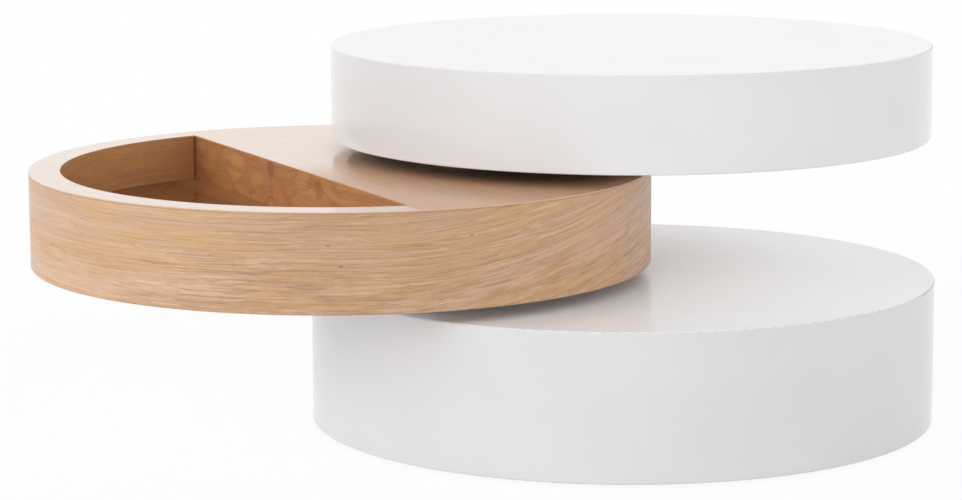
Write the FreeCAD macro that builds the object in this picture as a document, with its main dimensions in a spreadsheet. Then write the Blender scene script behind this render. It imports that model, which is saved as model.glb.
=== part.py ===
import FreeCAD, Part
import Sketcher
import math
import os

# A coffee table of three round drums. One steel column stands off-centre in the base. The oak tray runs on it
# on two bushes and a ball bearing, and the top on the column's thinner spindle and a second bearing.
# The column's axis is Z and the floor is z = 0. Each drum is drawn with its centre on +X, one arm from the
# axis, and its placement turns it about Z. The tray's compartment lies on the side away from the axis.

os.makedirs("parts", exist_ok=True)
doc = FreeCAD.newDocument("SwivelTable")
sheet = doc.addObject("Spreadsheet::Sheet", "Sizes")

SIZES = {
    # the drums, how far the column stands from their centres, as a share of the diameter,
    # and how far each is turned about the column, in degrees
    "drum_diameter": 600,
    "arm_share": 0.26,
    "base_height": 137,
    "tray_height": 92,
    "top_height": 92,
    "base_angle_deg": -58.7,
    "tray_angle_deg": 180,
    "top_angle_deg": -4.4,
    "deck_clearance": 1,
    "edge_round": 1.5,
    "board_play": 0.3,
    "running_fit": 0.05,
    # boards and walls
    "drum_wall": 15,
    "cover_board": 18,
    "base_board": 22,
    "inner_board": 16,
    "rim_wall": 30,
    "veneer": 1,
    "veneer_round": 0.6,
    "divider_share": 0.083,
    "divider_board": 18,
    "compartment_depth": 45,
    "floor_board": 12,
    "bearer_width": 30,
    "ledger_side": 18,
    "ledger_share": 0.74,
    "post_width": 60,
    "post_depth": 18,
    "dowel_diameter": 6,
    "dowel_below": 18,
    "dowel_above": 12,
    # blocks round the column
    "pivot_block_side": 150,
    "pivot_block_height": 24,
    "tray_block_side": 120,
    "top_block_side": 100,
    # column, bushes and what holds the top on
    "column_diameter": 45,
    "column_bore": 30,
    "column_plug": 40,
    "spindle_diameter": 24,
    "spindle_clearance": 4,
    "spindle_proud": 2.7,
    "spindle_chamfer": 1.5,
    "bush_wall": 5,
    "bush_length": 30,
    "thrust_washer_diameter": 56,
    "thrust_washer_height": 3,
    "lock_nut_flats": 36,
    "lock_nut_height": 12,
    # flange and its bolts
    "flange_diameter": 150,
    "flange_height": 6,
    "flange_round": 1,
    "bolt_circle": 110,
    "bolt_diameter": 8,
    "bolt_flats": 13,
    "bolt_head": 5.3,
    "nut_height": 6.5,
    "washer_diameter": 16,
    "washer_height": 1.6,
    "counterbore_diameter": 24,
    "counterbore_depth": 10,
    # bearings
    "ball_diameter": 8,
    "ball_circle": 110,
    "race_diameter": 140,
    "race_bore": 50,
    "race_height": 3,
    "race_gap": 6.5,
    "cage_width": 12,
    "cage_height": 2,
    "cage_play": 0.15,
    # countersunk screws
    "wood_screw_circle": 72,
    "wood_screw_diameter": 4,
    "wood_screw_head": 7.6,
    "wood_screw_length": 16,
    "head_screw_circle": 34.4,
    "head_screw_diameter": 4,
    "head_screw_head": 7.4,
    "head_screw_length": 14,
    # feet
    "glide_height": 3,
    "glide_diameter": 40,
    "glide_chamfer": 0.8,
    "glide_inset": 50,
    "peg_diameter": 8,
    "peg_length": 12,
}
BALLS = 18
SCREWS = 4
BOLTS = 4
POSTS = 6
FIRST_POST_DEG = 30
TRAY_POSTS = 4
FIRST_TRAY_POST_DEG = 100
TRAY_POST_SPREAD_DEG = 160
DOWELS = 8
GLIDES = 6

for row, (alias, value) in enumerate(SIZES.items(), 1):
    sheet.set(f"A{row}", alias.replace("_", " "))
    sheet.set(f"B{row}", str(value))
    sheet.setAlias(f"B{row}", alias)
doc.recompute()

# Plan: the drum's centre, and radii from the drum's own axis or from the column's.
ARM = "(Sizes.arm_share * Sizes.drum_diameter)"
RADIUS = "(Sizes.drum_diameter / 2)"
WALL_INSIDE = f"({RADIUS} - Sizes.drum_wall)"
BOARD_EDGE = f"({WALL_INSIDE} - Sizes.board_play)"
RIM_INSIDE = f"({RADIUS} - Sizes.rim_wall)"
TRAY_EDGE = f"({RIM_INSIDE} - Sizes.board_play)"
DIVIDER = "(Sizes.divider_share * Sizes.drum_diameter)"
DIVIDER_FACE = f"({ARM} + {DIVIDER})"
DIVIDER_BACK = f"({DIVIDER_FACE} - Sizes.divider_board)"
COLUMN = "(Sizes.column_diameter / 2)"
COLUMN_CLEAR = f"({COLUMN} + Sizes.board_play)"
SPINDLE = "(Sizes.spindle_diameter / 2)"
SPINDLE_CLEAR = f"({SPINDLE} + Sizes.board_play)"
RACE_BORE = "(Sizes.race_bore / 2)"
BALL_RING = "(Sizes.ball_circle / 2)"
BOLT_RING = "(Sizes.bolt_circle / 2)"

# Heights, from the floor up.
BASE_LOW = "Sizes.glide_height"
BASE_FLOOR = f"({BASE_LOW} + Sizes.base_board)"
BASE_HIGH = f"({BASE_LOW} + Sizes.base_height)"
BASE_SEAM = f"({BASE_HIGH} - Sizes.cover_board)"
FLANGE_HIGH = f"({BASE_FLOOR} + Sizes.flange_height)"
BEARING = "(2 * Sizes.race_height + Sizes.race_gap)"
TRAY_LOW = f"({BASE_HIGH} + {BEARING})"
TRAY_BASE = f"({TRAY_LOW} + Sizes.inner_board)"
TRAY_HIGH = f"({TRAY_LOW} + Sizes.tray_height)"
RIM_HIGH = f"({TRAY_HIGH} - Sizes.veneer)"
DECK_LOW = f"({RIM_HIGH} - Sizes.inner_board)"
FLOOR_HIGH = f"({TRAY_HIGH} - Sizes.compartment_depth)"
FLOOR_LOW = f"({FLOOR_HIGH} - Sizes.floor_board)"
HEAD = f"({TRAY_HIGH} + Sizes.deck_clearance)"
TOP_LOW = f"({HEAD} + {BEARING})"
TOP_FLOOR = f"({TOP_LOW} + Sizes.inner_board)"
TOP_HIGH = f"({TOP_LOW} + Sizes.top_height)"
TOP_SEAM = f"({TOP_HIGH} - Sizes.cover_board)"
SPINDLE_HIGH = f"({TOP_SEAM} - Sizes.spindle_clearance)"
THRUST_HIGH = f"({SPINDLE_HIGH} - Sizes.spindle_proud - Sizes.lock_nut_height)"
THRUST_LOW = f"({THRUST_HIGH} - Sizes.thrust_washer_height)"
TOP_BLOCK = f"({THRUST_LOW} - Sizes.board_play)"
LOWER_BALLS = f"({BASE_HIGH} + {BEARING} / 2)"
UPPER_BALLS = f"({HEAD} + {BEARING} / 2)"

BASE = "Sizes.base_angle_deg"
TRAY = "Sizes.tray_angle_deg"
TOP = "Sizes.top_angle_deg"

pieces = {}


def number(expression):
    """The value of an expression on the sheet."""
    return float(sheet.evalExpression(expression))


def pin(sketch, geometry, point, x, y):
    """Binds a point of a sketch to a place given by two expressions."""
    if x == "0" and y == "0":
        sketch.addConstraint(Sketcher.Constraint("Coincident", geometry, point, -1, 1))
        return
    for kind, axis, expression in (("DistanceX", -2, x), ("DistanceY", -1, y)):
        if expression == "0":
            sketch.addConstraint(Sketcher.Constraint("PointOnObject", geometry, point, axis))
            continue
        index = sketch.addConstraint(Sketcher.Constraint(kind, -1, 1, geometry, point, number(expression)))
        sketch.setExpression(f"Constraints[{index}]", expression)


def draw_outline(sketch, corners):
    """Draws a closed outline of straight lines through corners given as pairs of expressions."""
    first = sketch.GeometryCount
    places = [FreeCAD.Vector(number(x), number(y), 0) for x, y in corners]
    for start, end in zip(places, places[1:] + places[:1]):
        sketch.addGeometry(Part.LineSegment(start, end), False)
    for index, (x, y) in enumerate(corners):
        following = (index + 1) % len(corners)
        sketch.addConstraint(Sketcher.Constraint("Coincident", first + index, 2, first + following, 1))
        pin(sketch, first + index, 1, x, y)


def draw_circle(sketch, x, y, radius):
    """Draws a circle whose centre and radius are expressions."""
    centre = FreeCAD.Vector(number(x), number(y), 0)
    circle = sketch.addGeometry(Part.Circle(centre, FreeCAD.Vector(0, 0, 1), number(radius)), False)
    pin(sketch, circle, 3, x, y)
    index = sketch.addConstraint(Sketcher.Constraint("Radius", circle, number(radius)))
    sketch.setExpression(f"Constraints[{index}]", radius)


def draw_axis(sketch, x):
    """Draws an upright construction line at x, to turn a section or a pattern about."""
    ends = [FreeCAD.Vector(number(x), height, 0) for height in (0, 10)]
    line = sketch.addGeometry(Part.LineSegment(*ends), True)
    pin(sketch, line, 1, x, "0")
    sketch.addConstraint(Sketcher.Constraint("Vertical", line))
    sketch.addConstraint(Sketcher.Constraint("Distance", line, 10))


class Piece:
    """A body with its features. With a turn it is one of the table's nodes, turned with its drum."""

    def __init__(self, label, turn=None):
        self.body = doc.addObject("PartDesign::Body", label)
        self.body.Label = label
        self.body.AllowCompound = True
        self.origin = {feature.Role: feature for feature in self.body.Origin.OriginFeatures}
        if turn:
            name_piece(self.body, label, turn)

    def sketch(self, plane):
        """A sketch on one of the body's own origin planes."""
        sketch = self.body.newObject("Sketcher::SketchObject", "Section")
        sketch.AttachmentSupport = [(self.origin[plane], "")]
        sketch.MapMode = "FlatFace"
        return sketch

    def add(self, feature, removes):
        """Recomputes a new feature, and makes sure that a cut takes something away."""
        before = self.body.Shape.Volume if removes else 0
        self.body.Tip = feature
        doc.recompute()
        if removes and not self.body.Shape.Volume < before - 1e-3:
            raise ValueError(f"{self.body.Label}: {feature.Label} cuts nothing")
        return feature

    def pattern(self, features, axis, count, angle=360):
        """Repeats features about an axis."""
        pattern = self.body.newObject("PartDesign::PolarPattern", "Pattern")
        pattern.Originals = features
        pattern.Axis = axis
        pattern.Angle = angle
        pattern.Occurrences = count
        return self.add(pattern, False)

    def turn(self, corners, axis="0", about=None, count=1, cut=False, circle=None):
        """Turns a section, in x and z, about an upright axis at x = axis, and repeats it about another."""
        sketch = self.sketch("XZ_Plane")
        if circle:
            draw_circle(sketch, *circle)
        else:
            draw_outline(sketch, corners)
        if axis != "0":
            draw_axis(sketch, axis)
        if about:
            draw_axis(sketch, about)
        kind = "PartDesign::Groove" if cut else "PartDesign::Revolution"
        feature = self.body.newObject(kind, "Turned")
        feature.Profile = sketch
        feature.ReferenceAxis = (sketch, ["V_Axis" if axis == "0" else "Axis0"])
        feature.Angle = 360
        self.add(feature, cut)
        if count > 1:
            centre = (sketch, ["Axis1"]) if about else (self.origin["Z_Axis"], [""])
            self.pattern([feature], centre, count)
        return feature

    def raised(self, corners, low, height, hole=None, centre="0", start=0):
        """Raises an outline, in x and y, from a level, on another centre and turned by start where given."""
        sketch = self.sketch("XY_Plane")
        sketch.AttachmentOffset = FreeCAD.Placement(
            FreeCAD.Vector(0, 0, 0), FreeCAD.Rotation(FreeCAD.Vector(0, 0, 1), start))
        sketch.setExpression("AttachmentOffset.Base.z", low)
        sketch.setExpression("AttachmentOffset.Base.x", centre)
        draw_outline(sketch, corners)
        if hole:
            draw_circle(sketch, *hole)
        pad = self.body.newObject("PartDesign::Pad", "Raised")
        pad.Profile = sketch
        pad.setExpression("Length", height)
        return self.add(pad, False)

    def soften(self, radius, *circles):
        """Rounds the circular edges that have the given radii and heights."""
        wanted = [(number(r), number(z)) for r, z in circles]
        base = self.body.Tip
        names = []
        for index, edge in enumerate(base.Shape.Edges, 1):
            if isinstance(edge.Curve, Part.Circle):
                size, height = edge.Curve.Radius, edge.Curve.Center.z
                if any(abs(size - r) < 1e-3 and abs(height - z) < 1e-3 for r, z in wanted):
                    names.append(f"Edge{index}")
        fillet = self.body.newObject("PartDesign::Fillet", "Softened")
        fillet.Base = (base, names)
        fillet.setExpression("Radius", radius)
        return self.add(fillet, True)


def rectangle(left, right, half_width):
    """Corners of a rectangle that is centred on X."""
    return [(left, f"-{half_width}"), (right, f"-{half_width}"), (right, half_width), (left, half_width)]


def square(side):
    """Corners of a square round the column."""
    return rectangle(f"-{side} / 2", f"{side} / 2", f"({side} / 2)")


def hexagon(flats, x="0"):
    """Corners of a hexagon with the given width across its flats, centred at x."""
    corners = []
    for step in range(6):
        along = f"{x} + {flats} / sqrt(3) * cos({60 * step})"
        across = "0" if step % 3 == 0 else f"{flats} / sqrt(3) * sin({60 * step})"
        corners.append((along, across))
    return corners


def band(inner, outer, low, high, centre="0"):
    """Section of a ring or disc between two radii, on an upright axis at x = centre."""
    near = centre if inner == "0" else f"{centre} + {inner}"
    far = f"{centre} + {outer}"
    return [(near, low), (far, low), (far, high), (near, high)]


def drum_cover(label, turn, seam, high):
    """A full-width lacquered board with a softened upper edge and dowel holes from below."""
    piece = Piece(label, turn)
    piece.turn(band("0", RADIUS, seam, high, ARM), ARM)
    piece.soften("Sizes.edge_round", (RADIUS, high))
    drill_dowels(piece, seam)
    return piece


def drum_side(label, turn, low, seam):
    """A lacquered ring under a cover, softened at its lower edge."""
    piece = Piece(label, turn)
    piece.turn(band(WALL_INSIDE, RADIUS, low, seam, ARM), ARM)
    piece.soften("Sizes.edge_round", (RADIUS, low))
    drill_dowels(piece, seam)
    return piece


DOWEL_AXIS = f"({ARM} + {RADIUS} - Sizes.drum_wall / 2)"


def drill_dowels(piece, seam):
    """Blind holes for the dowels, on both sides of a seam."""
    low = f"{seam} - Sizes.dowel_below - Sizes.board_play"
    high = f"{seam} + Sizes.dowel_above + Sizes.board_play"
    hole = band("0", "(Sizes.dowel_diameter / 2 + Sizes.running_fit)", low, high, DOWEL_AXIS)
    piece.turn(hole, DOWEL_AXIS, ARM, DOWELS, cut=True)


def dowels(label, turn, seam):
    """Pins that locate a cover on its ring."""
    low = f"{seam} - Sizes.dowel_below"
    high = f"{seam} + Sizes.dowel_above"
    pin_section = band("0", "(Sizes.dowel_diameter / 2)", low, high, DOWEL_AXIS)
    Piece(label, turn).turn(pin_section, DOWEL_AXIS, ARM, DOWELS)


def posts(label, turn, inside, low, high, count, start, angle):
    """Upright battens between two boards, set round the drum just inside its wall."""
    reach = f"(sqrt({inside}^2 - (Sizes.post_width / 2)^2) - Sizes.board_play)"
    plan = rectangle(f"{reach} - Sizes.post_depth", reach, "(Sizes.post_width / 2)")
    piece = Piece(label, turn)
    post = piece.raised(plan, low, f"{high} - {low}", centre=ARM, start=start)
    piece.pattern([post], (post.Profile[0], ["N_Axis"]), count, angle)


def screw_section(kind, face, way, hole=False):
    """Half section of a countersunk screw, or of its hole, from the face that its head is flush with."""
    axis = f"(Sizes.{kind}_circle / 2)"
    shank = f"Sizes.{kind}_diameter / 2"
    head = f"Sizes.{kind}_head / 2"
    neck = f"({head} - {shank})"
    length = f"Sizes.{kind}_length"
    if hole:
        wide = f"{head} + Sizes.running_fit"
        narrow = f"{shank} + Sizes.running_fit"
        end = f"{length} + 1"
        depths = [("0", "-1"), (wide, "-1"), (wide, "0"), (narrow, neck), (narrow, end), ("0", end)]
    else:
        depths = [("0", "0"), (head, "0"), (shank, neck), (shank, f"({length} - {shank})"), ("0", length)]
    return [(f"{axis} + {radius}", f"{face} {way} ({depth})") for radius, depth in depths]


def screws(label, turn, kind, face, way):
    """Countersunk screws in a ring round the column."""
    Piece(label, turn).turn(screw_section(kind, face, way), f"(Sizes.{kind}_circle / 2)", count=SCREWS)


def drill_screws(piece, kind, face, way):
    """Countersunk holes for such screws."""
    section = screw_section(kind, face, way, hole=True)
    piece.turn(section, f"(Sizes.{kind}_circle / 2)", count=SCREWS, cut=True)


def race_plate(label, turn, low, bore, balls, kind, face, way):
    """A steel ring with a ball groove, countersunk for its screws."""
    piece = Piece(label, turn)
    piece.turn(band(bore, "(Sizes.race_diameter / 2)", low, f"{low} + Sizes.race_height"))
    groove = "Sizes.ball_diameter / 2 + Sizes.running_fit"
    piece.turn(None, cut=True, circle=(BALL_RING, balls, groove))
    drill_screws(piece, kind, face, way)


def bearing_cage(label, turn, middle):
    """A thin ring with a round pocket for each ball."""
    low = f"({middle} - Sizes.cage_height / 2)"
    high = f"({middle} + Sizes.cage_height / 2)"
    half = "Sizes.cage_width / 2"
    piece = Piece(label, turn)
    piece.turn(band(f"({BALL_RING} - {half})", f"({BALL_RING} + {half})", low, high))
    pocket = band("0", "(Sizes.ball_diameter / 2 + Sizes.cage_play)", f"{low} - 1", f"{high} + 1", BALL_RING)
    piece.turn(pocket, BALL_RING, count=BALLS, cut=True)


def bearing_balls(label, turn, middle):
    """A ring of steel balls, each a half disc turned about its own axis."""
    piece = Piece(label, turn)
    sketch = piece.sketch("XZ_Plane")
    radius = number("Sizes.ball_diameter / 2")
    centre = FreeCAD.Vector(number(BALL_RING), number(middle), 0)
    up = FreeCAD.Vector(0, radius, 0)
    circle = Part.Circle(centre, FreeCAD.Vector(0, 0, 1), radius)
    arc = sketch.addGeometry(Part.ArcOfCircle(circle, -math.pi / 2, math.pi / 2), False)
    line = sketch.addGeometry(Part.LineSegment(centre + up, centre - up), False)
    sketch.addConstraint(Sketcher.Constraint("Coincident", arc, 2, line, 1))
    sketch.addConstraint(Sketcher.Constraint("Coincident", arc, 1, line, 2))
    sketch.addConstraint(Sketcher.Constraint("Vertical", line))
    sketch.addConstraint(Sketcher.Constraint("PointOnObject", arc, 3, line))
    pin(sketch, arc, 3, BALL_RING, middle)
    index = sketch.addConstraint(Sketcher.Constraint("Radius", arc, radius))
    sketch.setExpression(f"Constraints[{index}]", "Sizes.ball_diameter / 2")
    draw_axis(sketch, BALL_RING)
    ball = piece.body.newObject("PartDesign::Revolution", "Ball")
    ball.Profile = sketch
    ball.ReferenceAxis = (sketch, ["Axis0"])
    ball.Angle = 360
    piece.add(ball, False)
    piece.pattern([ball], (piece.origin["Z_Axis"], [""]), BALLS)


def rod(radius, low, height, x):
    """A plain upright cylinder to cut or trim with."""
    cylinder = doc.addObject("Part::Cylinder", "Rod")
    cylinder.setExpression("Radius", radius)
    cylinder.setExpression("Height", height)
    cylinder.setExpression("Placement.Base.x", x)
    cylinder.setExpression("Placement.Base.z", low)
    return cylinder


def slab(left, right, low, height):
    """A plain block between two values of x, wider than a drum."""
    block = doc.addObject("Part::Box", "Slab")
    block.setExpression("Length", f"{right} - {left}")
    block.setExpression("Width", "2 * Sizes.drum_diameter")
    block.setExpression("Height", height)
    block.setExpression("Placement.Base.x", left)
    block.setExpression("Placement.Base.y", "-Sizes.drum_diameter")
    block.setExpression("Placement.Base.z", low)
    return block


def overlap(first, second):
    """What two solids share."""
    common = doc.addObject("Part::Common", "Trimmed")
    common.Base = first
    common.Tool = second
    return common


def without(base, tool):
    """One solid less another."""
    cut = doc.addObject("Part::Cut", "Cut")
    cut.Base = base
    cut.Tool = tool
    return cut


def name_piece(shape, label, turn):
    """Makes a solid one of the table's nodes."""
    shape.Label = label
    shape.setExpression("Placement.Rotation.Angle", turn)
    pieces[label] = shape


# Base: a closed lacquered drum on seven push-in glides.
cover = drum_cover("base_top_panel", BASE, BASE_SEAM, BASE_HIGH)
cover.turn(band("0", COLUMN_CLEAR, f"{BASE_SEAM} - 1", f"{BASE_HIGH} + 1"), cut=True)
drill_screws(cover, "wood_screw", f"({BASE_HIGH} + Sizes.race_height)", "-")
drum_side("base_side_wall", BASE, BASE_LOW, BASE_SEAM)
dowels("base_dowels", BASE, BASE_SEAM)
posts("base_posts", BASE, BOARD_EDGE, BASE_FLOOR, BASE_SEAM, POSTS, FIRST_POST_DEG, 360)

block_low = f"({BASE_SEAM} - Sizes.pivot_block_height)"
block_bore = ("0", "0", COLUMN_CLEAR)
block = Piece("base_pivot_block", BASE)
block.raised(square("Sizes.pivot_block_side"), block_low, "Sizes.pivot_block_height", block_bore)

PEG = "(Sizes.peg_diameter / 2)"
PEG_HIGH = f"({BASE_LOW} + Sizes.peg_length)"
GLIDE_RING = f"({ARM} + {RADIUS} - Sizes.glide_inset)"
bottom = Piece("base_bottom_panel", BASE)
bottom.turn(band("0", BOARD_EDGE, BASE_LOW, BASE_FLOOR, ARM), ARM)
peg_hole = (f"({PEG} + Sizes.running_fit)", f"{BASE_LOW} - 1", f"{PEG_HIGH} + Sizes.board_play")
bottom.turn(band("0", *peg_hole), cut=True)
bottom.turn(band("0", *peg_hole, GLIDE_RING), GLIDE_RING, ARM, GLIDES, cut=True)

glides = Piece("base_glides", BASE)
for centre in ("0", GLIDE_RING):
    edge = f"{centre} + Sizes.glide_diameter / 2"
    peg = f"{centre} + {PEG}"
    section = [(centre, "0"), (f"{edge} - Sizes.glide_chamfer", "0"), (edge, "Sizes.glide_chamfer"),
               (edge, BASE_LOW), (peg, BASE_LOW), (peg, PEG_HIGH), (centre, PEG_HIGH)]
    if centre == "0":
        glides.turn(section)
    else:
        glides.turn(section, centre, ARM, GLIDES)

# Column and flange, bolted through the bottom board. Washers and nuts sit in counterbores from below.
SEAT = f"({BASE_LOW} + Sizes.counterbore_depth)"
WASHER_LOW = f"({SEAT} - Sizes.washer_height)"
NUT_LOW = f"({WASHER_LOW} - Sizes.nut_height)"
BOLT = "(Sizes.bolt_diameter / 2)"
BOLT_CLEAR = f"({BOLT} + Sizes.board_play)"
bore = f"{BOLT_RING} + {BOLT_CLEAR}"
pocket = f"{BOLT_RING} + Sizes.counterbore_diameter / 2"
bolt_way = [(BOLT_RING, f"{BASE_LOW} - 1"), (pocket, f"{BASE_LOW} - 1"), (pocket, SEAT), (bore, SEAT),
            (bore, f"{FLANGE_HIGH} + 1"), (BOLT_RING, f"{FLANGE_HIGH} + 1")]
bottom.turn(bolt_way, BOLT_RING, count=BOLTS, cut=True)

flange = Piece("column_flange", BASE)
flange.turn(band(f"({COLUMN} + Sizes.running_fit)", "(Sizes.flange_diameter / 2)", BASE_FLOOR, FLANGE_HIGH))
flange.soften("Sizes.flange_round", ("Sizes.flange_diameter / 2", FLANGE_HIGH))
flange.turn(bolt_way, BOLT_RING, count=BOLTS, cut=True)

hollow = "Sizes.column_bore / 2"
hollow_high = f"({HEAD} - Sizes.column_plug)"
column = Piece("pivot_column", BASE)
column.turn([(hollow, BASE_FLOOR), (COLUMN, BASE_FLOOR), (COLUMN, HEAD), (SPINDLE, HEAD),
             (SPINDLE, f"{SPINDLE_HIGH} - Sizes.spindle_chamfer"),
             (f"{SPINDLE} - Sizes.spindle_chamfer", SPINDLE_HIGH), ("0", SPINDLE_HIGH),
             ("0", hollow_high), (hollow, hollow_high)])
drill_screws(column, "head_screw", f"({HEAD} + Sizes.race_height)", "-")

bolts = Piece("flange_bolts", BASE)
shank = bolts.turn(band("0", BOLT, f"{NUT_LOW} - 0.5", FLANGE_HIGH, BOLT_RING), BOLT_RING)
head = bolts.raised(hexagon("Sizes.bolt_flats", BOLT_RING), FLANGE_HIGH, "Sizes.bolt_head")
bolts.pattern([shank, head], (bolts.origin["Z_Axis"], [""]), BOLTS)

washers = Piece("flange_washers", BASE)
washer = band(BOLT_CLEAR, "(Sizes.washer_diameter / 2)", WASHER_LOW, SEAT, BOLT_RING)
washers.turn(washer, BOLT_RING, count=BOLTS)

nuts = Piece("flange_nuts", BASE)
thread = (BOLT_RING, "0", f"({BOLT} + Sizes.running_fit)")
nut = nuts.raised(hexagon("Sizes.bolt_flats", BOLT_RING), NUT_LOW, "Sizes.nut_height", thread)
nuts.pattern([nut], (nuts.origin["Z_Axis"], [""]), BOLTS)

# Lower bearing: a plate on the base, balls in a cage, and a plate under the tray.
lower_face = f"({BASE_HIGH} + Sizes.race_height)"
tray_face = f"({TRAY_LOW} - Sizes.race_height)"
race_plate("lower_race_plate", BASE, BASE_HIGH, RACE_BORE, LOWER_BALLS, "wood_screw", lower_face, "-")
screws("lower_race_screws", BASE, "wood_screw", lower_face, "-")
bearing_cage("lower_cage", TRAY, LOWER_BALLS)
bearing_balls("lower_balls", TRAY, LOWER_BALLS)
race_plate("tray_race_plate", TRAY, tray_face, RACE_BORE, LOWER_BALLS, "wood_screw", tray_face, "+")
screws("tray_race_screws", TRAY, "wood_screw", tray_face, "+")

# Tray: an oak ring with a board inside it, a half-moon compartment, and a deck over the other part.
rim = Piece("tray_rim", TRAY)
rim.turn(band(RIM_INSIDE, RADIUS, TRAY_LOW, RIM_HIGH, ARM), ARM)
rim.soften("Sizes.edge_round", (RADIUS, TRAY_LOW))

BUSH = f"({COLUMN} + Sizes.running_fit + Sizes.bush_wall)"
BUSH_HOLE = f"({BUSH} + Sizes.running_fit)"
tray_bottom = Piece("tray_bottom_panel", TRAY)
tray_bottom.turn(band("0", TRAY_EDGE, TRAY_LOW, TRAY_BASE, ARM), ARM)
tray_bottom.turn(band("0", BUSH_HOLE, f"{TRAY_LOW} - 1", f"{TRAY_BASE} + 1"), cut=True)
drill_screws(tray_bottom, "wood_screw", tray_face, "+")

hub = Piece("tray_hub_block", TRAY)
hub.raised(square("Sizes.tray_block_side"), TRAY_BASE, f"{DECK_LOW} - {TRAY_BASE}", ("0", "0", BUSH_HOLE))
bushes = Piece("tray_bushes", TRAY)
bush_bore = f"({COLUMN} + Sizes.running_fit)"
bushes.turn(band(bush_bore, BUSH, TRAY_LOW, f"{TRAY_LOW} + Sizes.bush_length"))
bushes.turn(band(bush_bore, BUSH, f"{RIM_HIGH} - Sizes.bush_length", RIM_HIGH))

floor_disc = rod(TRAY_EDGE, FLOOR_LOW, "Sizes.floor_board", ARM)
floor_half = slab(DIVIDER_FACE, f"({ARM} + {RADIUS})", FLOOR_LOW, "Sizes.floor_board")
name_piece(overlap(floor_disc, floor_half), "tray_floor", TRAY)

bearers = Piece("floor_bearers", TRAY)
for share in (0.08, 0.4, 0.7):
    near = f"({DIVIDER} + {share} * ({RIM_INSIDE} - {DIVIDER}))"
    far = f"({near} + Sizes.bearer_width)"
    half_length = f"(0.9 * sqrt({TRAY_EDGE}^2 - {far}^2))"
    plan = rectangle(f"{ARM} + {near}", f"{ARM} + {far}", half_length)
    bearers.raised(plan, TRAY_BASE, f"{FLOOR_LOW} - {TRAY_BASE}")

divider_height = f"{RIM_HIGH} - {TRAY_BASE}"
divider_disc = rod(TRAY_EDGE, TRAY_BASE, divider_height, ARM)
divider_slab = slab(DIVIDER_BACK, DIVIDER_FACE, TRAY_BASE, divider_height)
name_piece(overlap(divider_disc, divider_slab), "tray_divider", TRAY)

deck_disc = rod(TRAY_EDGE, DECK_LOW, "Sizes.inner_board", ARM)
deck_slab = slab(f"({ARM} - {RADIUS})", DIVIDER_BACK, DECK_LOW, "Sizes.inner_board")
deck_bore = rod(BUSH_HOLE, f"{DECK_LOW} - 1", "Sizes.inner_board + 2", "0")
name_piece(without(overlap(deck_disc, deck_slab), deck_bore), "tray_deck", TRAY)

ledger = Piece("deck_ledger", TRAY)
ledger_back = f"{DIVIDER_BACK} - Sizes.ledger_side"
ledger_plan = rectangle(ledger_back, DIVIDER_BACK, f"(Sizes.ledger_share * {TRAY_EDGE})")
ledger.raised(ledger_plan, f"{DECK_LOW} - Sizes.ledger_side", "Sizes.ledger_side")
posts("tray_posts", TRAY, TRAY_EDGE, TRAY_BASE, DECK_LOW, TRAY_POSTS,
      FIRST_TRAY_POST_DEG, TRAY_POST_SPREAD_DEG)

leaf = Piece("veneer_leaf")
leaf.turn(band("0", RADIUS, RIM_HIGH, TRAY_HIGH, ARM), ARM)
leaf.soften("Sizes.veneer_round", (RADIUS, TRAY_HIGH))
leaf.turn(band("0", BUSH_HOLE, f"{RIM_HIGH} - 1", f"{TRAY_HIGH} + 1"), cut=True)
moon_disc = rod(RIM_INSIDE, f"{RIM_HIGH} - 1", "Sizes.veneer + 2", ARM)
moon_half = slab(DIVIDER_FACE, f"({ARM} + {RADIUS})", f"{RIM_HIGH} - 1", "Sizes.veneer + 2")
name_piece(without(leaf.body, overlap(moon_disc, moon_half)), "tray_top_veneer", TRAY)

# Upper bearing: a plate screwed to the column's shoulder, balls in a cage, and a plate under the top.
head_face = f"({HEAD} + Sizes.race_height)"
top_face = f"({TOP_LOW} - Sizes.race_height)"
race_plate("head_race_plate", BASE, HEAD, SPINDLE_CLEAR, UPPER_BALLS, "head_screw", head_face, "-")
screws("head_screws", BASE, "head_screw", head_face, "-")
bearing_cage("upper_cage", TOP, UPPER_BALLS)
bearing_balls("upper_balls", TOP, UPPER_BALLS)
race_plate("top_race_plate", TOP, top_face, RACE_BORE, UPPER_BALLS, "wood_screw", top_face, "+")
screws("top_race_screws", TOP, "wood_screw", top_face, "+")

# Top: a closed lacquered drum that runs on the spindle and is held down by a washer and a nut.
drum_cover("top_panel", TOP, TOP_SEAM, TOP_HIGH)
drum_side("top_side_wall", TOP, TOP_LOW, TOP_SEAM)
dowels("top_dowels", TOP, TOP_SEAM)
posts("top_posts", TOP, BOARD_EDGE, TOP_FLOOR, TOP_SEAM, POSTS, FIRST_POST_DEG, 360)

TOP_BUSH = f"({SPINDLE} + Sizes.running_fit + Sizes.bush_wall)"
TOP_BUSH_HOLE = f"({TOP_BUSH} + Sizes.running_fit)"
top_bottom = Piece("top_bottom_panel", TOP)
top_bottom.turn(band("0", BOARD_EDGE, TOP_LOW, TOP_FLOOR, ARM), ARM)
top_bottom.turn(band("0", TOP_BUSH_HOLE, f"{TOP_LOW} - 1", f"{TOP_FLOOR} + 1"), cut=True)
drill_screws(top_bottom, "wood_screw", top_face, "+")
top_hub = Piece("top_hub_block", TOP)
top_hub_height = f"{TOP_BLOCK} - {TOP_FLOOR}"
top_hub.raised(square("Sizes.top_block_side"), TOP_FLOOR, top_hub_height, ("0", "0", TOP_BUSH_HOLE))
top_bush = Piece("top_bush", TOP)
top_bush.turn(band(f"({SPINDLE} + Sizes.running_fit)", TOP_BUSH, TOP_LOW, TOP_BLOCK))

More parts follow.
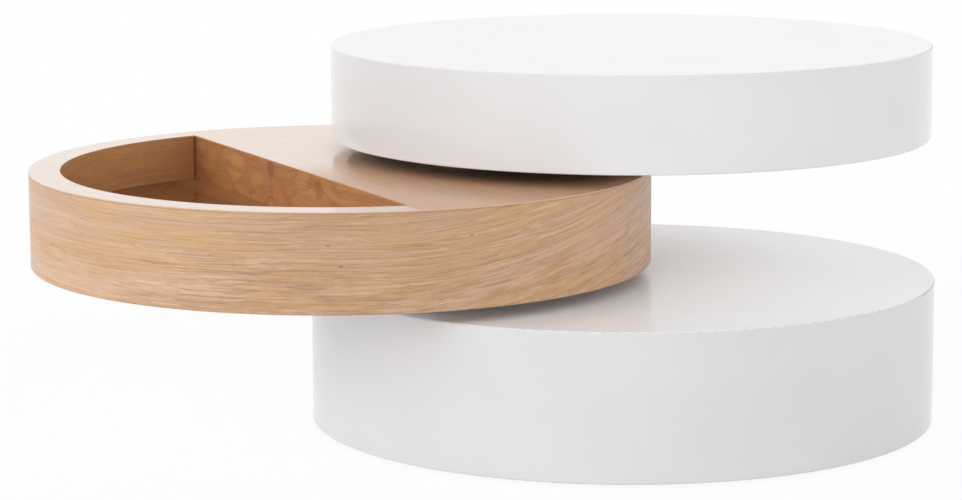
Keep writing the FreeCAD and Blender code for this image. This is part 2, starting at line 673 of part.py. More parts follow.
thrust = Piece("thrust_washer", BASE)
thrust.turn(band(SPINDLE_CLEAR, "(Sizes.thrust_washer_diameter / 2)", THRUST_LOW, THRUST_HIGH))
lock = Piece("lock_nut", BASE)
lock_bore = ("0", "0", f"({SPINDLE} + Sizes.running_fit)")
lock.raised(hexagon("Sizes.lock_nut_flats"), THRUST_HIGH, "Sizes.lock_nut_height", lock_bore)

doc.recompute()
for item in doc.Objects:
    if "Invalid" in item.State or "Error" in item.State:
        raise RuntimeError(f"{item.Label} failed: {item.State}")
for label, piece in pieces.items():
    if piece.Shape.isNull() or not piece.Shape.isValid() or not piece.Shape.Solids:
        raise RuntimeError(f"{label} has no valid solid")
for label, piece in pieces.items():
    piece.Shape.exportStep(f"parts/{label}.step")
    print(label, len(piece.Shape.Solids), round(piece.Shape.Volume / 1000, 1))
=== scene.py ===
import logging
import math
from dataclasses import dataclass, field
from enum import Enum
from typing import Any, Dict, List, Mapping, Optional, Sequence, Tuple, Union

import bmesh
import bpy
from mathutils import Matrix, Vector

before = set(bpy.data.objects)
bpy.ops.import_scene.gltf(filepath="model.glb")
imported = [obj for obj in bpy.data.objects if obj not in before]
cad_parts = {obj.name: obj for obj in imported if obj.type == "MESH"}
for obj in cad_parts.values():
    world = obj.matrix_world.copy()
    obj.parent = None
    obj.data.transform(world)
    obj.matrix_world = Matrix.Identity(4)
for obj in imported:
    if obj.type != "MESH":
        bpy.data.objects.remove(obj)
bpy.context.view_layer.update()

LOG = logging.getLogger("swivel_table")
MILLIMETRES = 1000.0

Colour = Tuple[float, float, float, float]
Triple = Tuple[float, float, float]
Pair = Tuple[float, float]
Key = Union[int, str]

# Places and sizes that several finishes need, in metres of the resting table, as the CAD has them.
SWIVEL: Pair = (0.0, 0.0)
TRAY_CENTRE: Pair = (-0.156, 0.0)
TRAY_RADIUS = 0.300
RIM_WALL = 0.030
DIVIDER_FACE = -0.2058

WHITE: Colour = (1.0, 1.0, 1.0, 1.0)


def paint(red: int, green: int, blue: int) -> Colour:
    """Turns a colour as it is seen on a screen into the linear colour a shader takes.

    Args:
        red: Red from 0 to 255.
        green: Green from 0 to 255.
        blue: Blue from 0 to 255.

    Returns:
        The linear colour, with a full alpha.
    """
    def linear(level: int) -> float:
        """Undoes the screen's curve on one channel."""
        share = level / 255.0
        return share / 12.92 if share <= 0.04045 else ((share + 0.055) / 1.055) ** 2.4

    return (linear(red), linear(green), linear(blue), 1.0)


def short_of(edge: float, gaps: Pair) -> Pair:
    """Gives the two places that lie a gap before an edge, or past it where the gap is below 0."""
    return (edge - gaps[0], edge - gaps[1])


@dataclass(frozen=True)
class Layer:
    """One layer of noise, with the length of its marks on each side in millimetres."""

    reach: Triple
    detail: float = 2.0
    roughness: float = 0.5
    bend: float = 0.0


class Wire:
    """One value socket of a shader, which takes part in Python arithmetic."""

    def __init__(self, sheet: "NodeSheet", socket: bpy.types.NodeSocket) -> None:
        """Keeps the sheet that the socket is on, and the socket."""
        self.sheet = sheet
        self.socket = socket

    def _join(self, operation: str, first: "Value", second: "Value") -> "Wire":
        """Adds one Math node of two values."""
        return self.sheet.node("ShaderNodeMath", {"operation": operation}, {0: first, 1: second})

    def __add__(self, other: "Value") -> "Wire":
        """Gives wire + other."""
        return self._join("ADD", self, other)

    def __radd__(self, other: "Value") -> "Wire":
        """Gives other + wire."""
        return self._join("ADD", other, self)

    def __sub__(self, other: "Value") -> "Wire":
        """Gives wire - other."""
        return self._join("SUBTRACT", self, other)

    def __rsub__(self, other: "Value") -> "Wire":
        """Gives other - wire."""
        return self._join("SUBTRACT", other, self)

    def __mul__(self, other: "Value") -> "Wire":
        """Gives wire * other."""
        return self._join("MULTIPLY", self, other)

    def __rmul__(self, other: "Value") -> "Wire":
        """Gives other * wire."""
        return self._join("MULTIPLY", other, self)

    def __truediv__(self, other: "Value") -> "Wire":
        """Gives wire / other."""
        return self._join("DIVIDE", self, other)

    def __rtruediv__(self, other: "Value") -> "Wire":
        """Gives other / wire."""
        return self._join("DIVIDE", other, self)


Value = Union[Wire, float]
Input = Union[Wire, float, Sequence[float]]


class NodeSheet:
    """A shader's node tree, filled through one method."""

    def __init__(self, tree: bpy.types.NodeTree) -> None:
        """Takes a node tree and empties it."""
        self.tree = tree
        self.tree.nodes.clear()

    def node(
        self,
        kind: str,
        settings: Optional[Mapping[str, Any]] = None,
        sockets: Optional[Mapping[Key, Input]] = None,
        output: Key = 0,
    ) -> Wire:
        """Adds a node, sets it, and then fills its sockets.

        Args:
            kind: The node's type.
            settings: The node's own settings, which are set first.
            sockets: The value or the link of each input.
            output: The output that is wanted.

        Returns:
            The wanted output.
        """
        made = self.tree.nodes.new(kind)
        for name, value in (settings or {}).items():
            setattr(made, name, value)
        for key, value in (sockets or {}).items():
            if isinstance(value, Wire):
                self.tree.links.new(value.socket, made.inputs[key])
            else:
                made.inputs[key].default_value = value
        return Wire(self, made.outputs[output]) if len(made.outputs) else Wire(self, made.inputs[0])

    def place(self) -> Wire:
        """Gives the point on the piece, in millimetres of the resting table."""
        point = self.node("ShaderNodeTexCoord", output="Object")
        return self.node("ShaderNodeVectorMath", {"operation": "SCALE"}, {0: point, "Scale": MILLIMETRES})

    def split(self, vector: Wire) -> Tuple[Wire, Wire, Wire]:
        """Gives the three parts of a vector."""
        made = self.node("ShaderNodeSeparateXYZ", sockets={0: vector}).socket.node
        return tuple(Wire(self, socket) for socket in made.outputs)

    def join(self, x: Value, y: Value, z: Value) -> Wire:
        """Makes a vector of three values."""
        return self.node("ShaderNodeCombineXYZ", sockets={0: x, 1: y, 2: z})

    def noise(self, place: Wire, layer: Layer) -> Wire:
        """Adds a layer of noise.

        Args:
            place: The point, in millimetres.
            layer: How long, fine, rough and bent the marks are.

        Returns:
            The noise, from 0 to 1, mostly near the middle.
        """
        scaled = self.node("ShaderNodeVectorMath", {"operation": "DIVIDE"}, {0: place, 1: layer.reach})
        values = {
            "Vector": scaled,
            "Scale": 1.0,
            "Detail": layer.detail,
            "Roughness": layer.roughness,
            "Distortion": layer.bend,
        }
        return self.node("ShaderNodeTexNoise", {"noise_dimensions": "3D"}, values)

    def fade(self, value: Wire, low: float, high: float) -> Wire:
        """Gives a soft step from 0 at low to 1 at high, which falls where low is above high."""
        return self.node(
            "ShaderNodeMapRange",
            {"interpolation_type": "SMOOTHSTEP"},
            {"Value": value, "From Min": low, "From Max": high},
        )

    def size(self, value: Wire) -> Wire:
        """Gives a value without its sign."""
        return self.node("ShaderNodeMath", {"operation": "ABSOLUTE"}, {0: value})

    def blend(self, share: Value, first: Input, second: Input) -> Wire:
        """Mixes two colours, share of the second."""
        return self.node(
            "ShaderNodeMix",
            {"data_type": "RGBA", "clamp_factor": True},
            {0: share, 6: first, 7: second},
            output=2,
        )

    def bump(self, height: Wire, depth: float, strength: float) -> Wire:
        """Turns a height from 0 to 1 into a normal, where depth is 1's height in millimetres."""
        return self.node(
            "ShaderNodeBump",
            sockets={"Height": height, "Distance": depth / MILLIMETRES, "Strength": strength},
        )

    def radius(self, place: Wire, centre: Pair) -> Wire:
        """Gives the distance from an upright line, in millimetres.

        Args:
            place: The point, in millimetres.
            centre: The line's x and y, in metres.

        Returns:
            The distance.
        """
        x, y, _ = self.split(place)
        flat = self.join(x - centre[0] * MILLIMETRES, y - centre[1] * MILLIMETRES, 0.0)
        return self.node("ShaderNodeVectorMath", {"operation": "LENGTH"}, {0: flat}, output="Value")

    def surface(self, **sockets: Input) -> None:
        """Ends the sheet in one shader, whose sockets are named with _ for a space."""
        shader = self.node(
            "ShaderNodeBsdfPrincipled",
            sockets={name.replace("_", " "): value for name, value in sockets.items()},
        )
        self.node("ShaderNodeOutputMaterial", sockets={"Surface": shader})


class Finish:
    """A finish that makes its material once."""

    name: str
    _made: Dict[str, bpy.types.Material] = {}

    def material(self) -> bpy.types.Material:
        """Gives the finish's material, drawn the first time that it is asked for.

        Returns:
            The material.
        """
        if self.name not in Finish._made:
            made = bpy.data.materials.new(self.name)
            made.use_nodes = True
            self.draw(NodeSheet(made.node_tree))
            Finish._made[self.name] = made
        return Finish._made[self.name]

    def draw(self, sheet: NodeSheet) -> None:
        """Draws the finish's nodes."""
        raise NotImplementedError


@dataclass(frozen=True)
class Lacquer(Finish):
    """Sprayed white lacquer, drawn whiter on the level face than on the bent wall: the greyer wall is a
    painted shade, and both are drawn a little cool against the oak's warm bounce.
    """

    name: str
    centre: Pair
    # Painted shade and tint: the wall is drawn greyer than the face, and both a little cool against the
    # oak's warm bounce.
    face: Colour = paint(250, 250, 253)
    face_shade: Colour = paint(248, 247, 250)
    wall: Colour = paint(229, 229, 231)
    wall_shade: Colour = paint(227, 226, 228)
    gloss: float = 0.14
    index: float = 1.3
    wall_coat: float = 0.25
    coat_gloss: float = 0.06
    # Painted shade: normals that lean less than this take the greyer wall colour, so the rounded edge shows
    # no highlight.
    level_step: Pair = (0.60, 0.97)
    cloud: Layer = Layer((140.0, 140.0, 90.0), 3.0)
    cloud_step: Pair = (0.35, 0.7)
    streak: Layer = Layer((38.0, 38.0, 24.0))
    streak_dulling: float = 0.05
    rings: Layer = Layer((7.0, 1.0, 1.0), 3.0, 0.7)
    ring_dulling: float = 0.03
    peel: Layer = Layer((2.6, 2.6, 2.6), 1.0)
    peel_share: float = 0.3
    swell: Layer = Layer((17.0, 17.0, 17.0), 1.0)
    swell_share: float = 0.7
    relief: Pair = (0.03, 0.35)

    def draw(self, sheet: NodeSheet) -> None:
        """Draws a cloudy tint, a painted shade that greys the wall and the rounded edge, uneven gloss in
        patches and rings, and orange peel.

        Args:
            sheet: The sheet to draw on.
        """
        place = sheet.place()
        normal = sheet.node("ShaderNodeNewGeometry", output="Normal")
        # Painted shade: the level face gets the whiter colour, and the wall and rounded edge get the greyer
        # one.
        level = sheet.fade(sheet.split(normal)[2], *self.level_step)
        cloud = sheet.fade(sheet.noise(place, self.cloud), *self.cloud_step)
        wall = sheet.blend(cloud, self.wall, self.wall_shade)
        face = sheet.blend(cloud, self.face, self.face_shade)
        across = sheet.radius(place, self.centre)
        streak = self.streak_dulling * sheet.noise(place, self.streak)
        rings = self.ring_dulling * sheet.noise(sheet.join(across, 0.0, 0.0), self.rings)
        peel = self.peel_share * sheet.noise(place, self.peel)
        swell = self.swell_share * sheet.noise(place, self.swell)
        sheet.surface(
            Base_Color=sheet.blend(level, wall, face),
            Roughness=self.gloss + streak + rings,
            Normal=sheet.bump(peel + swell, *self.relief),
            IOR=self.index,
            Coat_Weight=self.wall_coat * (1 - level),
            Coat_Roughness=self.coat_gloss,
        )


@dataclass(frozen=True)
class OakTones:
    """The colours of one cut of oak, from its palest streak to its pores, and of its golden patches."""

    pale: Colour
    straw: Colour
    honey: Colour
    umber: Colour
    pore: Colour
    gold: Colour


OUTSIDE_OAK = OakTones(
    pale=paint(225, 192, 165),
    straw=paint(212, 174, 144),
    honey=paint(196, 156, 122),
    umber=paint(160, 119, 86),
    pore=paint(115, 80, 53),
    gold=paint(206, 164, 115),
)
DECK_OAK = OakTones(
    pale=paint(243, 212, 191),
    straw=paint(230, 192, 163),
    honey=paint(226, 186, 155),
    umber=paint(188, 144, 110),
    pore=paint(146, 105, 76),
    gold=paint(227, 188, 148),
)
# Painted shade: the divider, the rim's inside and the compartment floor are drawn in darker copies of the
# oak, which stand in for the shade in the compartment.
SHADED_WALL_OAK = OakTones(
    pale=paint(216, 159, 110),
    straw=paint(206, 147, 98),
    honey=paint(192, 132, 86),
    umber=paint(151, 95, 57),
    pore=paint(104, 64, 37),
    gold=paint(206, 150, 88),
)
SHADED_INSIDE_OAK = OakTones(
    pale=paint(212, 159, 114),
    straw=paint(201, 147, 101),
    honey=paint(187, 133, 89),
    umber=paint(147, 96, 60),
    pore=paint(102, 65, 40),
    gold=paint(200, 150, 93),
)
SHADED_FLOOR_OAK = OakTones(
    pale=paint(150, 96, 60),
    straw=paint(137, 86, 53),
    honey=paint(125, 77, 47),
    umber=paint(98, 58, 33),
    pore=paint(74, 43, 24),
    gold=paint(141, 91, 50),
)


@dataclass(frozen=True)
class OakFigure:
    """The layers of oak's figure along, across and into the wood, where each shows and how strongly."""

    sweep: Layer = Layer((520.0, 95.0, 95.0), 1.0)
    ripple: Layer = Layer((60.0, 14.0, 14.0))
    ripple_drift: float = 5.0
    band: Layer = Layer((1500.0, 9.5, 9.5), 2.0, 0.6)
    band_step: Pair = (0.34, 0.66)
    streak: Layer = Layer((120.0, 1.5, 1.5), 3.0, 0.6)
    pale_step: Pair = (0.52, 0.66)
    pale_share: float = 0.5
    dark_step: Pair = (0.48, 0.34)
    dark_share: float = 0.45
    line: Layer = Layer((200.0, 2.4, 2.4))
    line_step: Pair = (0.62, 0.68)
    line_share: float = 0.42
    fibre: Layer = Layer((30.0, 0.9, 0.9))
    fibre_step: Pair = (0.52, 0.7)
    fibre_share: float = 0.22
    cloud: Layer = Layer((90.0, 15.0, 15.0), 3.0, 0.55)
    cloud_step: Pair = (0.46, 0.66)
    glow: Layer = Layer((140.0, 30.0, 30.0), 4.0, 0.6, 0.6)
    glow_step: Pair = (0.42, 0.60)
    dash: Layer = Layer((13.0, 0.8, 0.8), 1.0)
    dash_step: Pair = (0.66, 0.74)
    porous_band: Pair = (0.35, 0.6)
    pore_share: float = 0.36
    knot_cell: Triple = (58.0, 27.0, 27.0)
    knot_edge: Pair = (0.085, 0.03)
    knot_pick: Pair = (0.78, 0.82)
    streak_dulling: float = 0.10
    pore_dulling: float = 0.12
    streak_height: float = 0.45
    fibre_height: float = 0.35
    pore_depth: float = 0.6
    relief: Pair = (0.10, 0.25)


@dataclass(frozen=True)
class Oak(Finish):
    """Oak veneer under a satin lacquer, with its grain along the divider."""

    name: str
    tones: OakTones
    contrast: float = 1.0
    drift: float = 40.0
    blotch: float = 0.4
    gloss: float = 0.42
    coat: float = 0.15
    coat_gloss: float = 0.14
    shine: float = 0.5
    gild: float = 0.45
    knotty: float = 0.55
    figure: OakFigure = OakFigure()

    def lie(self, sheet: NodeSheet, place: Wire) -> Tuple[Wire, Wire, Wire]:
        """Gives a point along the grain, across it and in depth.

        Args:
            sheet: The sheet to draw on.
            place: The point.

        Returns:
            The three lengths, in millimetres.
        """
        x, y, z = sheet.split(place)
        return y, x, z

    def draw(self, sheet: NodeSheet) -> None:
        """Draws the bands, streaks, fibres, pores and small knots of the veneer.

        Args:
            sheet: The sheet to draw on.
        """
        figure = self.figure
        place = sheet.place()
        marks = self.marks(sheet, *self.lie(sheet, place))
        colour = self.tint(sheet, marks, self.tones)
        streak, fibre, pores = marks["streak"], marks["fibre"], marks["pores"]
        height = figure.streak_height * streak + figure.fibre_height * fibre - figure.pore_depth * pores
        sheet.surface(
            Base_Color=self.trim(sheet, place, marks, colour),
            Roughness=self.gloss + figure.streak_dulling * streak + figure.pore_dulling * pores,
            Normal=sheet.bump(height, *figure.relief),
            Specular_IOR_Level=self.shine,
            Coat_Weight=self.polish(sheet, place),
            Coat_Roughness=self.coat_gloss,
        )

    def polish(self, sheet: NodeSheet, place: Wire) -> Input:
        """Gives the lacquer's weight at a point, which is even here."""
        return self.coat

    def vigour(self, sheet: NodeSheet, along: Wire, across: Wire) -> Value:
        """Gives the strength of the figure at a place on the veneer, which is even here."""
        return self.contrast

    def marks(self, sheet: NodeSheet, along: Wire, across: Wire, depth: Wire) -> Dict[str, Value]:
        """Draws the veneer's figure in grey.

        Args:
            sheet: The sheet to draw on.
            along: The length along the grain, in millimetres.
            across: The length across it.
            depth: The length into the wood.

        Returns:
            Each kind of mark by name, from 0 to 1, and the figure's strength as vigour.
        """
        figure = self.figure
        flat = sheet.join(along, across, depth)
        sweep = sheet.noise(flat, figure.sweep) - 0.5
        ripple = sheet.noise(flat, figure.ripple) - 0.5
        sway = sweep * self.drift + ripple * figure.ripple_drift
        wavy = sheet.join(along, across + sway, depth + sway)
        band = sheet.noise(wavy, figure.band)
        dash = sheet.noise(wavy, figure.dash)
        return {
            "band": band,
            "streak": sheet.noise(wavy, figure.streak),
            "line": sheet.noise(wavy, figure.line),
            "fibre": sheet.noise(wavy, figure.fibre),
            "cloud": sheet.noise(wavy, figure.cloud),
            "glow": sheet.noise(flat, figure.glow),
            "pores": sheet.fade(dash, *figure.dash_step) * sheet.fade(band, *figure.porous_band),
            "knots": self.knots(sheet, flat),
            "vigour": self.vigour(sheet, along, across),
        }

    def tint(self, sheet: NodeSheet, marks: Mapping[str, Value], tones: OakTones) -> Wire:
        """Colours the veneer's marks.

        Args:
            sheet: The sheet to draw on.
            marks: The veneer's marks by name.
            tones: The colours of this cut.

        Returns:
            The colour.
        """
        figure = self.figure
        vigour, streak = marks["vigour"], marks["streak"]
        colour = sheet.blend(sheet.fade(marks["band"], *figure.band_step), tones.straw, tones.honey)
        cloud = sheet.fade(marks["cloud"], *figure.cloud_step) * self.blotch * vigour
        colour = sheet.blend(cloud, colour, tones.honey)
        glow = sheet.fade(marks["glow"], *figure.glow_step) * self.gild
        colour = sheet.blend(glow, colour, tones.gold)
        pale = sheet.fade(streak, *figure.pale_step) * figure.pale_share * vigour
        colour = sheet.blend(pale, colour, tones.pale)
        dark = sheet.fade(streak, *figure.dark_step) * figure.dark_share * vigour
        colour = sheet.blend(dark, colour, tones.umber)
        line = sheet.fade(marks["line"], *figure.line_step) * figure.line_share * vigour
        colour = sheet.blend(line, colour, tones.umber)
        fibre = sheet.fade(marks["fibre"], *figure.fibre_step) * figure.fibre_share * vigour
        colour = sheet.blend(fibre, colour, tones.umber)
        colour = sheet.blend(marks["pores"] * figure.pore_share * vigour, colour, tones.pore)
        return sheet.blend(marks["knots"] * self.knotty, colour, tones.pore)

    def knots(self, sheet: NodeSheet, flat: Wire) -> Wire:
        """Draws the few small pin knots.

        Args:
            sheet: The sheet to draw on.
            flat: The point along, across and in depth.

        Returns:
            1 inside a knot and 0 outside.
        """
        figure = self.figure
        cell = sheet.node("ShaderNodeVectorMath", {"operation": "DIVIDE"}, {0: flat, 1: figure.knot_cell})
        settings = {"voronoi_dimensions": "3D", "feature": "F1"}
        distance = sheet.node("ShaderNodeTexVoronoi", settings, {"Vector": cell, "Scale": 1.0})
        tint = Wire(sheet, distance.socket.node.outputs["Color"])
        pick = sheet.split(tint)[0]
        return sheet.fade(distance, *figure.knot_edge) * sheet.fade(pick, *figure.knot_pick)

    def trim(self, sheet: NodeSheet, place: Wire, marks: Mapping[str, Value], colour: Wire) -> Wire:
        """Adds what the piece's own edges and joints show, which is nothing here."""
        return colour


@dataclass(frozen=True)
class RimOak(Oak):
    """Veneer bent round the rim, drawn darker inside as a painted shade, and closed by a joint at the back.
    """

    centre: Pair = TRAY_CENTRE
    radius: float = TRAY_RADIUS
    wall: float = RIM_WALL
    divider: float = DIVIDER_FACE
    top_edge: float = 0.2435
    front_angle: float = math.radians(244.4)
    climb: float = 48.0
    climb_span: Pair = (50.0, 430.0)
    inside: OakTones = SHADED_INSIDE_OAK
    # Each pin knot's length along the rim and height less the grain's climb, in millimetres.
    pin_knots: Tuple[Pair, ...] = (
        (10.8, 196.2),
        (-0.4, 214.9),
        (129.8, 214.2),
        (465.0, 158.0),
        (704.0, 172.0),
        (-398.0, 224.0),
        (-655.0, 181.0),
    )
    knot_size: Pair = (2.6, 1.3)
    knot_edge: Pair = (1.0, 0.2)
    lively_rise: Pair = (-260.0, -40.0)
    lively_fall: Pair = (80.0, 280.0)
    fall_share: float = 0.5
    calm: float = 0.62
    lively: float = 0.66
    high_span: Pair = (185.0, 225.0)
    high_calming: float = 0.3
    skin: float = 2.0
    front_patch_rise: Pair = (-150.0, 10.0)
    front_patch_fall: Pair = (330.0, 60.0)
    front_patch_share: float = 0.22
    mottle: Layer = Layer((34.0, 6.0, 6.0), 3.0, 0.6, 0.8)
    mottle_step: Pair = (0.47, 0.66)
    mottle_height: Pair = (205.0, 165.0)
    mottle_rise: Pair = (-260.0, -60.0)
    mottle_share: float = 0.34
    glue_line: Pair = (1.6, 0.8)
    glue_share: float = 0.5
    # Painted shade: how far the inner wall darkens towards the divider, and how much.
    corner_shade_line: Pair = (90.0, 0.0)
    corner_shade_share: float = 0.35
    joint_line: Pair = (3.4, 1.2)
    joint_share: float = 0.62

    def lie(self, sheet: NodeSheet, place: Wire) -> Tuple[Wire, Wire, Wire]:
        """Gives a point along the rim from its front, in height less the grain's climb, and from its axis.

        Args:
            sheet: The sheet to draw on.
            place: The point.

        Returns:
            The three lengths, in millimetres.
        """
        x, y, z = sheet.split(place)
        east = x - self.centre[0] * MILLIMETRES
        north = y - self.centre[1] * MILLIMETRES
        cosine, sine = math.cos(self.front_angle), math.sin(self.front_angle)
        ahead = east * cosine + north * sine
        aside = north * cosine - east * sine
        angle = sheet.node("ShaderNodeMath", {"operation": "ARCTAN2"}, {0: aside, 1: ahead})
        along = angle * (self.radius * MILLIMETRES)
        climb = sheet.fade(along, *self.climb_span) * self.climb
        return along, z - climb, sheet.radius(place, self.centre)

    def vigour(self, sheet: NodeSheet, along: Wire, across: Wire) -> Wire:
        """Gives the strength of the figure, which is calmer at the ends of the veneer and near its top.

        Args:
            sheet: The sheet to draw on.
            along: The length along the rim, in millimetres.
            across: The height less the grain's climb.

        Returns:
            The strength.
        """
        fall = 1 - self.fall_share * sheet.fade(along, *self.lively_fall)
        middle = sheet.fade(along, *self.lively_rise) * fall
        high = 1 - self.high_calming * sheet.fade(across, *self.high_span)
        return self.contrast * (self.calm + self.lively * middle) * high

    def knots(self, sheet: NodeSheet, flat: Wire) -> Wire:
        """Draws the rim's pin knots at their places.

        Args:
            sheet: The sheet to draw on.
            flat: The point along, across and in depth.

        Returns:
            1 inside a knot and 0 outside.
        """
        along, across, _ = sheet.split(flat)
        wide, tall = self.knot_size
        found: Value = 0.0
        for knot_along, knot_across in self.pin_knots:
            sideways = (along - knot_along) / wide
            upward = (across - knot_across) / tall
            found = sheet.fade(sideways * sideways + upward * upward, *self.knot_edge) + found
        return found

    def trim(self, sheet: NodeSheet, place: Wire, marks: Mapping[str, Value], colour: Wire) -> Wire:
        """Adds a darker patch across the front, mottling low down, the glue line on top, the inner wall's
        painted shade and a painted shade towards its corner.

        Args:
            sheet: The sheet to draw on.
            place: The point.
            marks: The veneer's marks.
            colour: The colour so far.

        Returns:
            The colour.
        """
        along, across, depth = self.lie(sheet, place)
        x, _, z = sheet.split(place)
        middle = (self.radius - self.wall / 2) * MILLIMETRES
        within = sheet.fade(depth, middle + self.skin, middle - self.skin)
        # A darker patch across the rim's front, fading out towards its right.
        front_patch = sheet.fade(along, *self.front_patch_rise) * sheet.fade(along, *self.front_patch_fall)
        colour = sheet.blend(front_patch * self.front_patch_share, colour, self.tones.umber)
        mottle = sheet.fade(sheet.noise(sheet.join(along, across, depth), self.mottle), *self.mottle_step)
        low = sheet.fade(across, *self.mottle_height) * sheet.fade(along, *self.mottle_rise)
        colour = sheet.blend(mottle * low * self.mottle_share, colour, self.tones.umber)
        glue = sheet.fade(z, *short_of(self.top_edge * MILLIMETRES, self.glue_line))
        colour = sheet.blend(glue * self.glue_share, colour, self.tones.umber)
        # Painted shade: the inner wall takes the darker inside tones.
        colour = sheet.blend(within, colour, self.tint(sheet, marks, self.inside))
        face = self.divider * MILLIMETRES
        # Painted shade: the inner wall darkens over its last 90 mm towards the divider.
        corner_shade = sheet.fade(x, *short_of(face, self.corner_shade_line)) * within
        colour = sheet.blend(corner_shade * self.corner_shade_share, colour, self.inside.umber)
        joint = sheet.fade(x, *short_of(face, self.joint_line)) * within
        return sheet.blend(joint * self.joint_share, colour, self.inside.pore)


@dataclass(frozen=True)
class DeckOak(Oak):
    """The deck's veneer, whose cut edges show along the compartment and round the rim."""

    centre: Pair = TRAY_CENTRE
    radius: float = TRAY_RADIUS
    wall: float = RIM_WALL
    divider: float = DIVIDER_FACE
    cut: Colour = paint(218, 160, 114)
    edge: Colour = paint(214, 175, 140)
    # Painted sheen: the rim's top round the compartment is drawn paler and pinker.
    ring: Colour = paint(243, 218, 203)
    smear: Colour = paint(202, 180, 164)
    dulling: float = 0.65
    # Painted shade: the worn front is also drawn darker and warmer.
    front_shade: Colour = paint(188, 138, 92)
    front_shade_share: float = 0.48
    worn_shaded_front: Pair = (50.0, -110.0)
    worn_shaded_line: Pair = (12.0, 0.0)
    calm: float = 0.4
    lively: float = 1.6
    lively_front: Pair = (70.0, -110.0)
    cut_line: Pair = (-0.9, -0.5)
    edge_line: Pair = (0.7, 0.3)
    ring_line: Pair = (-2.0, 10.0)
    ring_share: float = 0.5
    smears: Layer = Layer((6.0, 46.0, 6.0), 3.0, 0.6, 0.5)
    smear_step: Pair = (0.48, 0.7)
    smear_share: float = 0.35

    def vigour(self, sheet: NodeSheet, along: Wire, across: Wire) -> Wire:
        """Gives the strength of the figure, which shows more on the deck's front."""
        return self.contrast * (self.calm + self.lively * sheet.fade(along, *self.lively_front))

    def polish(self, sheet: NodeSheet, place: Wire) -> Wire:
        """Gives the lacquer's weight, which is less on the worn front of the deck."""
        return self.coat * (1 - self.dulling * self.worn_and_shaded(sheet, place))

    def worn_and_shaded(self, sheet: NodeSheet, place: Wire) -> Wire:
        """Gives the deck's front, whose lacquer is worn and which is also drawn darker as a painted shade;
        it ends at the compartment.

        Args:
            sheet: The sheet to draw on.
            place: The point.

        Returns:
            1 where the deck is worn and 0 where it isn't.
        """
        x, y, _ = sheet.split(place)
        ahead = sheet.fade(x, *short_of(self.divider * MILLIMETRES, self.worn_shaded_line))
        return sheet.fade(y, *self.worn_shaded_front) * ahead

    def trim(self, sheet: NodeSheet, place: Wire, marks: Mapping[str, Value], colour: Wire) -> Wire:
        """Adds the painted shade on the front, the painted sheen on the ring round the compartment, its
        smears and the cut edges.

        Args:
            sheet: The sheet to draw on.
            place: The point.
            marks: The veneer's marks.
            colour: The colour so far.

        Returns:
            The colour.
        """
        out = sheet.radius(place, self.centre)
        x, _, _ = sheet.split(place)
        brink = self.divider * MILLIMETRES
        hole = (self.radius - self.wall) * MILLIMETRES
        inner = sheet.fade(out, *short_of(hole, self.cut_line))
        straight = sheet.fade(x, *short_of(brink, self.cut_line)) * inner
        rounded = sheet.fade(out, *short_of(self.radius * MILLIMETRES, self.edge_line))
        # Painted shade on the deck's front.
        colour = sheet.blend(self.worn_and_shaded(sheet, place) * self.front_shade_share, colour, self.front_shade)
        # Painted sheen on the ring round the compartment.
        around = sheet.fade(x, *short_of(brink, self.ring_line))
        colour = sheet.blend(around * self.ring_share, colour, self.ring)
        smears = sheet.fade(sheet.noise(place, self.smears), *self.smear_step)
        colour = sheet.blend(around * smears * self.smear_share, colour, self.smear)
        colour = sheet.blend(straight, colour, self.cut)
        return sheet.blend(rounded, colour, self.edge)


@dataclass(frozen=True)
class Blot:
    """One soft spot of colour on the divider, in metres: dark if its share is above 0, golden if below."""

    y: float
    z: float
    wide: float
    tall: float
    share: float


